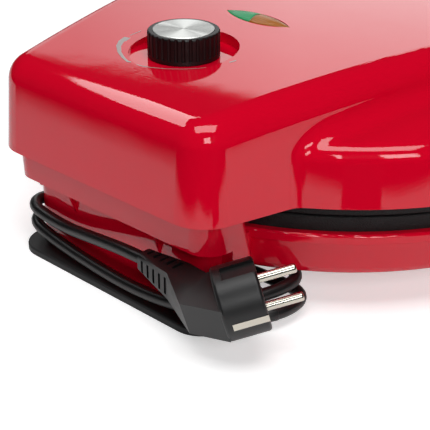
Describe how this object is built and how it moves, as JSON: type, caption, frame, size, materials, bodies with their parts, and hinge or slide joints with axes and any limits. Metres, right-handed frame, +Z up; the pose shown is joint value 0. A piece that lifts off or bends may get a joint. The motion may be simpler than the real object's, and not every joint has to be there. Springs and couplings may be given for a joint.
{
  "type": "electric pizza maker",
  "caption": "Round countertop cooker with a hinged domed lid, facing cooking plates, a control knob and pilot lamps on a raised console, and a cord wound under the hinge.",
  "frame": {"origin": "on the table under the cooking plates' centre, which is the middle of the closed cooker", "axes": "+X across, +Y towards the hinge, +Z up; the grips are at -Y"},
  "size_m": [0.34, 0.4113, 0.1342],
  "materials": {
    "casing": "gloss",
    "plate": "black non-stick coating, fine texture",
    "heater_sheath": "dull",
    "sheet_steel": "mill finish",
    "fuse_case": "matt",
    "terminal_ceramic": "matt",
    "screw_steel": "zinc plated",
    "black_moulding": "fine texture",
    "foot_rubber": "matt",
    "cord_pvc": "satin",
    "plug_moulding": "satin",
    "plug_nickel": "nickel plated",
    "hinge_steel": "satin black",
    "thermostat_case": "mill finish",
    "lamp_box_moulding": "matt",
    "lamp_glass": "clear",
    "green_lens": "translucent, fine prisms",
    "amber_lens": "translucent, fine prisms",
    "knob_moulding": "satin",
    "cap_aluminium": "spun",
    "shaft_steel": "turned"
  },
  "bodies": {
    "base": {"base_housing": "casing", "lower_plate": "plate", "lower_element": "heater_sheath", "lower_heat_shield": "sheet_steel", "thermal_fuse": "fuse_case", "terminal_block": "terminal_ceramic", "base_screws": "screw_steel", "base_grip": "black_moulding", "front_pads": "foot_rubber", "foot_plate": "black_moulding", "foot_screws": "screw_steel", "hinge_pins": "screw_steel", "cord_gland": "cord_pvc", "power_cord": "cord_pvc", "plug_body": "plug_moulding", "plug_pins": "plug_nickel", "earth_clips": "plug_nickel"},
    "lid": {"lid_housing": "casing", "upper_plate": "plate", "upper_element": "heater_sheath", "upper_heat_shield": "sheet_steel", "lid_screws": "screw_steel", "hinge_arms": "hinge_steel", "hinge_screws": "screw_steel", "lid_grip": "black_moulding", "thermostat": "thermostat_case", "thermostat_nut": "screw_steel", "lamp_box": "lamp_box_moulding", "neon_lamps": "lamp_glass", "green_lens": "green_lens", "amber_lens": "amber_lens"},
    "knob": {"control_knob": "knob_moulding", "knob_cap": "cap_aluminium", "thermostat_shaft": "shaft_steel"}
  },
  "joints": [
    {"name": "lid_hinge", "type": "hinge", "parent": "base", "child": "lid", "pos_m": [0, 0.1835, 0.0567], "axis": [-1, 0, 0], "range_deg": [0, 90]},
    {"name": "knob_turn", "type": "hinge", "parent": "lid", "child": "knob", "pos_m": [0, 0.1285, 0.13], "axis": [0, 0, -1], "range_deg": [0, 270]}
  ]
}
